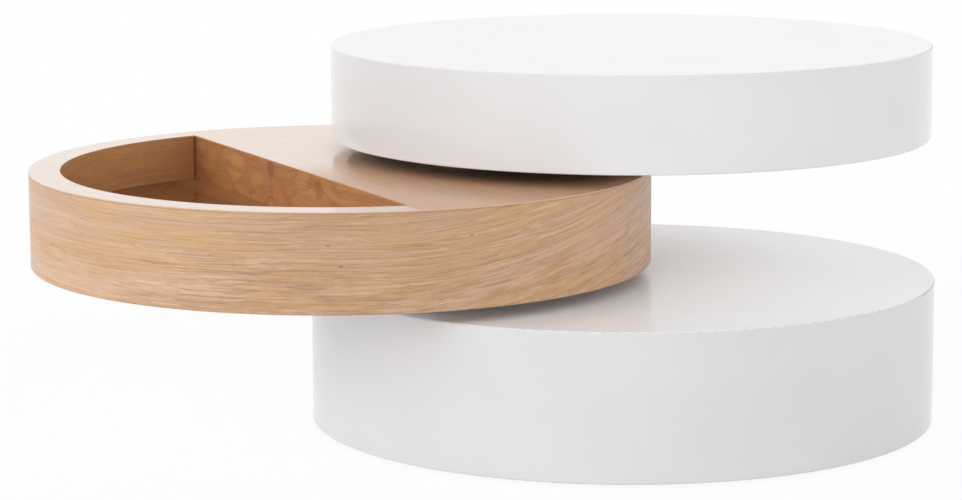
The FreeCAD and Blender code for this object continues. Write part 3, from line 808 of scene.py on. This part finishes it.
@dataclass(frozen=True)
class DividerOak(Oak):
    """The divider's veneer, with soft dark veins, a painted shade towards its far end, a few blots and a
    joint at each end.
    """

    half: float = 0.2654
    vein: Layer = Layer((60.0, 130.0, 42.0), 2.0, 0.5, 1.6)
    vein_step: Pair = (0.08, 0.0)
    vein_share: float = 0.36
    far_shade_line: Pair = (135.0, 0.0)
    far_shade_share: float = 0.4
    ragged: Layer = Layer((9.0, 9.0, 5.0), 3.0, 0.6)
    ragged_swing: float = 2.4
    blot_edge: Pair = (1.8, 0.2)
    joint_line: Pair = (3.4, 1.0)
    joint_share: float = 0.62
    blots: Tuple[Blot, ...] = (
        Blot(y=0.150, z=0.233, wide=0.020, tall=0.007, share=-0.8),
        Blot(y=0.058, z=0.236, wide=0.008, tall=0.010, share=0.75),
        Blot(y=0.096, z=0.222, wide=0.016, tall=0.009, share=-0.6),
        Blot(y=-0.061, z=0.232, wide=0.009, tall=0.009, share=0.55),
    )

    def trim(self, sheet: NodeSheet, place: Wire, marks: Mapping[str, Value], colour: Wire) -> Wire:
        """Adds the veins, the painted shade at the far end, the blots and the joints.

        Args:
            sheet: The sheet to draw on.
            place: The point.
            marks: The veneer's marks.
            colour: The colour so far.

        Returns:
            The colour.
        """
        _, y, z = sheet.split(place)
        swirl = sheet.noise(place, self.vein) - 0.5
        vein = sheet.fade(sheet.size(swirl), *self.vein_step)
        colour = sheet.blend(vein * self.vein_share, colour, self.tones.umber)
        end = self.half * MILLIMETRES
        # Painted shade: the divider darkens over its last 135 mm towards the far corner.
        far_shade = sheet.fade(y, *short_of(end, self.far_shade_line))
        colour = sheet.blend(far_shade * self.far_shade_share, colour, self.tones.umber)
        ragged = sheet.noise(place, self.ragged) * self.ragged_swing - self.ragged_swing / 2
        for blot in self.blots:
            sideways = (y - blot.y * MILLIMETRES) / (blot.wide * MILLIMETRES)
            upward = (z - blot.z * MILLIMETRES) / (blot.tall * MILLIMETRES)
            spot = sheet.fade(sideways * sideways + upward * upward + ragged, *self.blot_edge)
            tone = self.tones.umber if blot.share > 0.0 else self.tones.gold
            colour = sheet.blend(spot * abs(blot.share), colour, tone)
        joint = sheet.fade(sheet.size(y), *short_of(end, self.joint_line))
        return sheet.blend(joint * self.joint_share, colour, self.tones.pore)


@dataclass(frozen=True)
class FloorOak(Oak):
    """The compartment floor's veneer, with painted light paling it along the divider, where the divider
    bounces light onto it.
    """

    divider: float = DIVIDER_FACE
    # Painted light: a paler colour along the divider stands in for the light that it bounces onto the
    # floor.
    bounce_light: Colour = paint(204, 147, 99)
    bounce_light_line: Pair = (40.0, 8.0)
    bounce_light_share: float = 0.4

    def trim(self, sheet: NodeSheet, place: Wire, marks: Mapping[str, Value], colour: Wire) -> Wire:
        """Adds the painted bounce light along the divider.

        Args:
            sheet: The sheet to draw on.
            place: The point.
            marks: The veneer's marks.
            colour: The colour so far.

        Returns:
            The colour.
        """
        x, _, _ = sheet.split(place)
        bounce_strip = sheet.fade(x, *short_of(self.divider * MILLIMETRES, self.bounce_light_line))
        return sheet.blend(bounce_strip * self.bounce_light_share, colour, self.bounce_light)


@dataclass(frozen=True)
class Fibreboard(Finish):
    """Pressed wood fibre, sanded and sealed."""

    name: str = "fibreboard"
    light: Colour = paint(196, 163, 126)
    dark: Colour = paint(160, 124, 88)
    fleck: Colour = paint(112, 80, 52)
    cloud: Layer = Layer((60.0, 60.0, 30.0), 3.0)
    cloud_share: float = 0.35
    mat: Layer = Layer((2.2, 2.2, 0.7), 4.0, 0.65, 1.2)
    mat_step: Pair = (0.35, 0.68)
    mat_share: float = 0.6
    speck: Layer = Layer((1.3, 1.3, 0.6), 1.0)
    speck_step: Pair = (0.66, 0.74)
    speck_share: float = 0.5
    gloss: float = 0.62
    mat_dulling: float = 0.2
    speck_depth: float = 0.5
    relief: Pair = (0.1, 0.35)

    def draw(self, sheet: NodeSheet) -> None:
        """Draws a cloudy tone, matted fibres and specks.

        Args:
            sheet: The sheet to draw on.
        """
        place = sheet.place()
        cloud = sheet.noise(place, self.cloud)
        mat = sheet.noise(place, self.mat)
        speck = sheet.fade(sheet.noise(place, self.speck), *self.speck_step)
        dark = self.cloud_share * cloud + self.mat_share * sheet.fade(mat, *self.mat_step)
        colour = sheet.blend(dark, self.light, self.dark)
        colour = sheet.blend(speck * self.speck_share, colour, self.fleck)
        sheet.surface(
            Base_Color=self.paint_shade(sheet, place, colour),
            Roughness=self.gloss + self.mat_dulling * mat,
            Normal=sheet.bump(mat - self.speck_depth * speck, *self.relief),
        )

    def paint_shade(self, sheet: NodeSheet, place: Wire, colour: Wire) -> Wire:
        """Adds the painted shade on the board, which is none here."""
        return colour


@dataclass(frozen=True)
class ShadedBoard(Fibreboard):
    """Board with a black round painted about the swivel, a painted shade that darkens the gap over the deck
    below.
    """

    # Painted shade: a black round under the top darkens the gap over the deck.
    black: Colour = paint(56, 53, 52)
    core: float = 0.150
    brim: float = 0.245

    def paint_shade(self, sheet: NodeSheet, place: Wire, colour: Wire) -> Wire:
        """Adds the painted black round, a painted shade which thins out from its core to its brim.

        Args:
            sheet: The sheet to draw on.
            place: The point.
            colour: The board's colour.

        Returns:
            The colour.
        """
        out = sheet.radius(place, SWIVEL)
        share = sheet.fade(out, self.brim * MILLIMETRES, self.core * MILLIMETRES)
        return sheet.blend(share, colour, self.black)


class Axis(Enum):
    """The direction that a sawn piece's grain runs in."""

    X = 0
    Y = 1
    Z = 2


@dataclass(frozen=True)
class Softwood(Finish):
    """Sawn and planed pine, for what is inside the drums."""

    name: str
    axis: Axis
    early: Colour = paint(233, 208, 166)
    late: Colour = paint(199, 155, 101)
    dark: Colour = paint(134, 88, 50)
    ring: Pair = (4.2, 380.0)
    ring_bend: Pair = (0.55, 0.25)
    ring_step: Pair = (0.42, 0.66)
    ring_share: float = 0.8
    tone: Pair = (30.0, 150.0)
    tone_step: Pair = (0.55, 0.8)
    tone_share: float = 0.25
    ray: Pair = (0.7, 26.0)
    ray_step: Pair = (0.55, 0.75)
    ray_share: float = 0.2
    gloss: float = 0.55
    ray_dulling: float = 0.2
    ray_height: float = 0.6
    ring_height: float = 0.4
    relief: Pair = (0.12, 0.35)

    def layer(self, reach: Pair, roughness: float = 0.5, bend: float = 0.0) -> Layer:
        """Makes a layer of noise that runs with the grain.

        Args:
            reach: The marks' length across the grain and along it, in millimetres.
            roughness: How strong the finer marks are.
            bend: How far the marks are distorted.

        Returns:
            The layer.
        """
        across, along = reach
        sides = [across, across, across]
        sides[self.axis.value] = along
        return Layer(tuple(sides), roughness=roughness, bend=bend)

    def draw(self, sheet: NodeSheet) -> None:
        """Draws growth rings, darker patches and rays along the grain.

        Args:
            sheet: The sheet to draw on.
        """
        place = sheet.place()
        ring = sheet.noise(place, self.layer(self.ring, *self.ring_bend))
        tone = sheet.noise(place, self.layer(self.tone))
        ray = sheet.noise(place, self.layer(self.ray))
        colour = sheet.blend(sheet.fade(ring, *self.ring_step) * self.ring_share, self.early, self.late)
        colour = sheet.blend(sheet.fade(tone, *self.tone_step) * self.tone_share, colour, self.dark)
        colour = sheet.blend(sheet.fade(ray, *self.ray_step) * self.ray_share, colour, self.dark)
        sheet.surface(
            Base_Color=colour,
            Roughness=self.gloss + self.ray_dulling * ray,
            Normal=sheet.bump(self.ray_height * ray + self.ring_height * ring, *self.relief),
        )


class Working(Enum):
    """How a metal piece was worked last."""

    TURNED = "turned on a lathe"
    PRESSED = "pressed from sheet and plated"
    POLISHED = "ground and polished"


# How much of a metal's marks is fine grit. The rest is the lathe's grooves on turned steel, or bloom.
GRIT_SHARE = {Working.TURNED: 0.25, Working.PRESSED: 0.7, Working.POLISHED: 0.5}


@dataclass(frozen=True)
class Metal(Finish):
    """Steel, as it was worked last."""

    name: str
    working: Working
    bright: Colour
    dull: Colour
    gloss: float
    bloom: Layer = Layer((9.0, 9.0, 9.0), 4.0, 0.6)
    grit: Layer = Layer((0.8, 0.8, 0.8))
    groove: Layer = Layer((0.55, 0.55, 1.0), 3.0, 0.7)
    bloom_share: float = 0.5
    dull_step: Pair = (0.36, 0.66)
    gloss_low: float = 0.7
    gloss_swing: float = 0.6
    relief: Pair = (0.02, 0.25)

    def draw(self, sheet: NodeSheet) -> None:
        """Draws grit, bloom and, on turned steel, grooves round the swivel.

        Args:
            sheet: The sheet to draw on.
        """
        place = sheet.place()
        bloom = sheet.noise(place, self.bloom)
        grit = sheet.noise(place, self.grit)
        other = bloom
        if self.working is Working.TURNED:
            _, _, height = sheet.split(place)
            other = sheet.noise(sheet.join(sheet.radius(place, SWIVEL), height, 0.0), self.groove)
        share = GRIT_SHARE[self.working]
        marks = share * grit + (1.0 - share) * other
        dulling = self.bloom_share * bloom + (1.0 - self.bloom_share) * marks
        sheet.surface(
            Base_Color=sheet.blend(sheet.fade(dulling, *self.dull_step), self.bright, self.dull),
            Roughness=self.gloss * (self.gloss_low + self.gloss_swing * marks),
            Normal=sheet.bump(marks, *self.relief),
            Metallic=1.0,
        )


@dataclass(frozen=True)
class Nylon(Finish):
    """Moulded nylon with a fine spark-eroded skin."""

    name: str
    light: Colour
    dark: Colour
    flow: Layer = Layer((24.0, 24.0, 6.0), 3.0, 0.6, 1.5)
    flow_step: Pair = (0.36, 0.68)
    skin: Layer = Layer((0.6, 0.6, 0.6))
    scuff: Layer = Layer((5.0, 1.2, 3.0), 3.0, 0.7)
    scuff_step: Pair = (0.6, 0.75)
    gloss: float = 0.42
    skin_dulling: float = 0.14
    scuff_dulling: float = 0.15
    relief: Pair = (0.03, 0.4)
    glow: float = 0.05

    def draw(self, sheet: NodeSheet) -> None:
        """Draws flow streaks, scuffs and the mould's fine texture.

        Args:
            sheet: The sheet to draw on.
        """
        place = sheet.place()
        flow = sheet.noise(place, self.flow)
        skin = sheet.noise(place, self.skin)
        scuff = sheet.fade(sheet.noise(place, self.scuff), *self.scuff_step)
        sheet.surface(
            Base_Color=sheet.blend(sheet.fade(flow, *self.flow_step), self.light, self.dark),
            Roughness=self.gloss + self.skin_dulling * skin + self.scuff_dulling * scuff,
            Normal=sheet.bump(skin, *self.relief),
            Subsurface_Weight=self.glow,
        )


FIBREBOARD = Fibreboard()
PRIMED_BOARD = Fibreboard("primed_board", paint(254, 254, 254), paint(252, 252, 251), paint(238, 237, 235))
UNDERSIDE = ShadedBoard("underside", PRIMED_BOARD.light, PRIMED_BOARD.dark, PRIMED_BOARD.fleck)
PINE_UP = Softwood("softwood_upright", Axis.Z)
PINE_X = Softwood("softwood_lengthways", Axis.X)
PINE_Y = Softwood("softwood_crossways", Axis.Y)
COLUMN_STEEL = Metal("column_steel", Working.TURNED, paint(186, 186, 188), paint(150, 150, 154), 0.30)
RACE_STEEL = Metal("race_steel", Working.PRESSED, paint(196, 197, 200), paint(158, 160, 164), 0.34)
BALL_STEEL = Metal("ball_steel", Working.POLISHED, paint(222, 222, 224), paint(198, 198, 202), 0.10)
ZINC_STEEL = Metal("zinc_steel", Working.PRESSED, paint(206, 208, 210), paint(166, 170, 178), 0.30)
NYLON = Nylon("nylon", paint(236, 232, 221), paint(222, 216, 200))
GLIDE_NYLON = Nylon("glide_nylon", paint(62, 61, 60), paint(44, 43, 43))


def dress(finish: Finish, *nodes: str) -> None:
    """Gives CAD nodes a finish and reports each.

    Args:
        finish: The finish.
        nodes: The nodes' names.
    """
    for name in nodes:
        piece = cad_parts[name]
        for slot in piece.material_slots:
            slot.material = finish.material()
        LOG.info("%s: %s", name, finish.name)


@dataclass
class Base:
    """The white drum that stands on the floor, with the column on it."""

    centre: Pair = (0.08104, -0.13330)
    # Painted light and shade: the face is drawn as near pure white as paint goes, to lift the top in the
    # shade of the tray and the top drum, and the wall is drawn darker than the face.
    face: Colour = paint(254, 254, 255)
    face_shade: Colour = paint(253, 252, 254)
    wall: Colour = paint(223, 223, 224)
    wall_shade: Colour = paint(221, 220, 221)
    index: float = 1.18

    def dress(self) -> None:
        """Lacquers the drum and finishes what is inside and on it."""
        lacquer = Lacquer(
            "white_lacquer_base",
            self.centre,
            self.face,
            self.face_shade,
            self.wall,
            self.wall_shade,
            index=self.index,
        )
        dress(lacquer, "base_top_panel", "base_side_wall")
        dress(FIBREBOARD, "base_bottom_panel")
        dress(PINE_UP, "base_posts", "base_dowels")
        dress(PINE_X, "base_pivot_block")
        dress(GLIDE_NYLON, "base_glides")
        dress(COLUMN_STEEL, "column_flange", "pivot_column")
        dress(ZINC_STEEL, "flange_bolts", "flange_washers", "flange_nuts", "lower_race_screws")
        dress(ZINC_STEEL, "head_screws", "thrust_washer", "lock_nut")
        dress(RACE_STEEL, "lower_race_plate", "head_race_plate")


@dataclass
class Tray:
    """The oak drum with the half-moon compartment."""

    centre: Pair = TRAY_CENTRE
    radius: float = TRAY_RADIUS

    def dress(self) -> None:
        """Veneers the drum and finishes what is inside it."""
        rim = RimOak(
            "oak_rim", OUTSIDE_OAK, 1.1, blotch=0.75, gild=0.8, centre=self.centre, radius=self.radius
        )
        dress(rim, "tray_rim")
        deck = DeckOak("oak_deck", DECK_OAK, 0.5, coat=1.0, coat_gloss=0.12, knotty=0.0)
        dress(deck, "tray_top_veneer")
        dress(DividerOak("oak_divider", SHADED_WALL_OAK, 0.7, drift=80.0, blotch=1.1, coat=0.1), "tray_divider")
        dress(FloorOak("oak_floor", SHADED_FLOOR_OAK, shine=0.0, coat=0.6, coat_gloss=0.05), "tray_floor")
        dress(PRIMED_BOARD, "tray_bottom_panel")
        dress(FIBREBOARD, "tray_deck")
        dress(PINE_UP, "tray_posts")
        dress(PINE_X, "floor_bearers", "tray_hub_block")
        dress(PINE_Y, "deck_ledger")
        dress(NYLON, "tray_bushes")
        dress(RACE_STEEL, "tray_race_plate")
        dress(ZINC_STEEL, "tray_race_screws")


@dataclass
class Top:
    """The white drum on top."""

    centre: Pair = (0.15554, -0.01197)

    def dress(self) -> None:
        """Lacquers the drum and finishes what is inside it."""
        dress(Lacquer("white_lacquer_top", self.centre), "top_panel", "top_side_wall")
        # The underside carries a painted shade round the swivel.
        dress(UNDERSIDE, "top_bottom_panel")
        dress(PINE_UP, "top_posts", "top_dowels")
        dress(PINE_X, "top_hub_block")
        dress(NYLON, "top_bush")
        dress(RACE_STEEL, "top_race_plate")
        dress(ZINC_STEEL, "top_race_screws")


@dataclass
class Bearing:
    """A ring of balls in their cage, between two race plates."""

    cage: str
    balls: str

    def dress(self) -> None:
        """Finishes the cage and its balls."""
        dress(NYLON, self.cage)
        dress(BALL_STEEL, self.balls)


@dataclass
class Lamp:
    """One soft box of the studio."""

    name: str
    place: Triple
    aim: Triple
    side: float
    watts: float

    def build(self) -> None:
        """Hangs the lamp and turns it to its aim."""
        light = bpy.data.lights.new(self.name, "AREA")
        light.shape = "SQUARE"
        light.size = self.side
        light.energy = self.watts
        made = bpy.data.objects.new(self.name, light)
        bpy.context.scene.collection.objects.link(made)
        direction = Vector(self.aim) - Vector(self.place)
        made.location = self.place
        made.rotation_euler = direction.to_track_quat("-Z", "Y").to_euler()
        LOG.info("lamp %s", self.name)


@dataclass
class Studio:
    """A pale floor, a white surround and a soft lamp."""

    reach: float = 12.0
    floor_sides: int = 96
    drop: float = 0.0002
    floor_white: Colour = paint(248, 247, 247)
    zenith: float = 0.54
    ring: float = 1.26
    ring_rise: Triple = (0.0, 0.30, 0.75)
    slant: float = 0.20
    bright_side: Triple = (-1.0, 0.0, 0.0)
    lift: float = 0.92
    near: float = 0.75
    far_shade: float = 1.60
    lamps: List[Lamp] = field(
        default_factory=lambda: [
            Lamp("side_box", (-2.9, -0.6, 0.85), (0.0, 0.0, 0.15), 1.6, 9.0),
        ]
    )

    def build(self) -> None:
        """Lays the floor, lights the surround and hangs the lamps."""
        bpy.context.scene.view_settings.view_transform = "Standard"
        self.lay_floor()
        self.light_surround()
        for lamp in self.lamps:
            lamp.build()

    @staticmethod
    def seen(sheet: NodeSheet) -> Wire:
        """Tells what is seen from what only lights the table.

        Args:
            sheet: The sheet to draw on.

        Returns:
            1 to the camera, in gloss and through glass, and 0 to other light.
        """
        path = sheet.node("ShaderNodeLightPath").socket.node
        camera, glossy, clear = (
            Wire(sheet, path.outputs[name])
            for name in ("Is Camera Ray", "Is Glossy Ray", "Is Transmission Ray")
        )
        either = sheet.node("ShaderNodeMath", {"operation": "MAXIMUM"}, {0: camera, 1: glossy})
        return sheet.node("ShaderNodeMath", {"operation": "MAXIMUM"}, {0: either, 1: clear})

    def lay_floor(self) -> None:
        """Makes the floor, which turns to plain white far from the table."""
        shape = bmesh.new()
        bmesh.ops.create_circle(shape, cap_ends=True, segments=self.floor_sides, radius=self.reach)
        mesh = bpy.data.meshes.new("studio_floor")
        shape.to_mesh(mesh)
        shape.free()
        floor = bpy.data.objects.new("studio_floor", mesh)
        floor.location.z = -self.drop
        bpy.context.scene.collection.objects.link(floor)
        paper = bpy.data.materials.new("studio_floor")
        paper.use_nodes = True
        sheet = NodeSheet(paper.node_tree)
        seen = self.seen(sheet)
        away = sheet.radius(sheet.place(), SWIVEL)
        matt = sheet.node("ShaderNodeBsdfDiffuse", sockets={"Color": self.floor_white})
        plain = sheet.node("ShaderNodeEmission", sockets={"Color": WHITE, "Strength": 1.0})
        distance = sheet.fade(away, self.near * MILLIMETRES, self.far_shade * MILLIMETRES)
        share = seen * (self.lift + (1.0 - self.lift) * distance)
        mixed = sheet.node("ShaderNodeMixShader", sockets={0: share, 1: matt, 2: plain})
        sheet.node("ShaderNodeOutputMaterial", sockets={"Surface": mixed})
        mesh.materials.append(paper)
        LOG.info("studio_floor")

    def light_surround(self) -> None:
        """Makes the world white to the eye, and as a light brightest in a low ring and on one side."""
        world = bpy.data.worlds.new("white_surround")
        world.use_nodes = True
        bpy.context.scene.world = world
        sheet = NodeSheet(world.node_tree)
        look = sheet.node("ShaderNodeTexCoord", output="Generated")
        _, _, rise = sheet.split(look)
        toward = {0: look, 1: self.bright_side}
        side = sheet.node("ShaderNodeVectorMath", {"operation": "DOT_PRODUCT"}, toward, "Value")
        foot, crest, head = self.ring_rise
        ring = sheet.fade(rise, foot, crest) * sheet.fade(rise, head, crest)
        light = self.zenith + self.ring * ring + self.slant * side
        seen = self.seen(sheet)
        level = light * (1 - seen) + seen
        sky = sheet.node("ShaderNodeBackground", sockets={"Color": WHITE, "Strength": level})
        sheet.node("ShaderNodeOutputWorld", sockets={"Surface": sky})


@dataclass
class PhotoCamera:
    """The camera at the photograph's place and angle."""

    place: Triple = (-1.3554, -2.7800, 0.6732)
    heading: Pair = (0.43673, 0.89960)
    dip: float = math.radians(9.628)
    roll: float = math.radians(-0.157)
    lens: float = 118.06
    film: float = 36.0
    sight: float = 100.0

    def build(self) -> None:
        """Sets the camera up and makes it the scene's own."""
        data = bpy.data.cameras.new("photo_camera")
        data.sensor_fit = "HORIZONTAL"
        data.sensor_width = self.film
        data.lens = self.lens
        data.clip_end = self.sight
        data.dof.use_dof = False
        camera = bpy.data.objects.new("photo_camera", data)
        bpy.context.scene.collection.objects.link(camera)
        east, north = self.heading
        ahead = Vector((east * math.cos(self.dip), north * math.cos(self.dip), -math.sin(self.dip)))
        right = Vector((north, -east, 0.0))
        up = right.cross(ahead)
        turned = right * math.cos(self.roll) + up * math.sin(self.roll)
        upright = up * math.cos(self.roll) - right * math.sin(self.roll)
        pose = Matrix((turned, upright, -ahead)).transposed().to_4x4()
        pose.translation = Vector(self.place)
        camera.matrix_world = pose
        bpy.context.scene.camera = camera
        LOG.info("photo_camera")


def main() -> None:
    """Builds the studio and dresses the table, from the floor up."""
    logging.basicConfig(level=logging.INFO, format="%(message)s")
    Studio().build()
    PhotoCamera().build()
    Base().dress()
    Bearing("lower_cage", "lower_balls").dress()
    Tray().dress()
    Bearing("upper_cage", "upper_balls").dress()
    Top().dress()


if __name__ == "__main__":
    main()
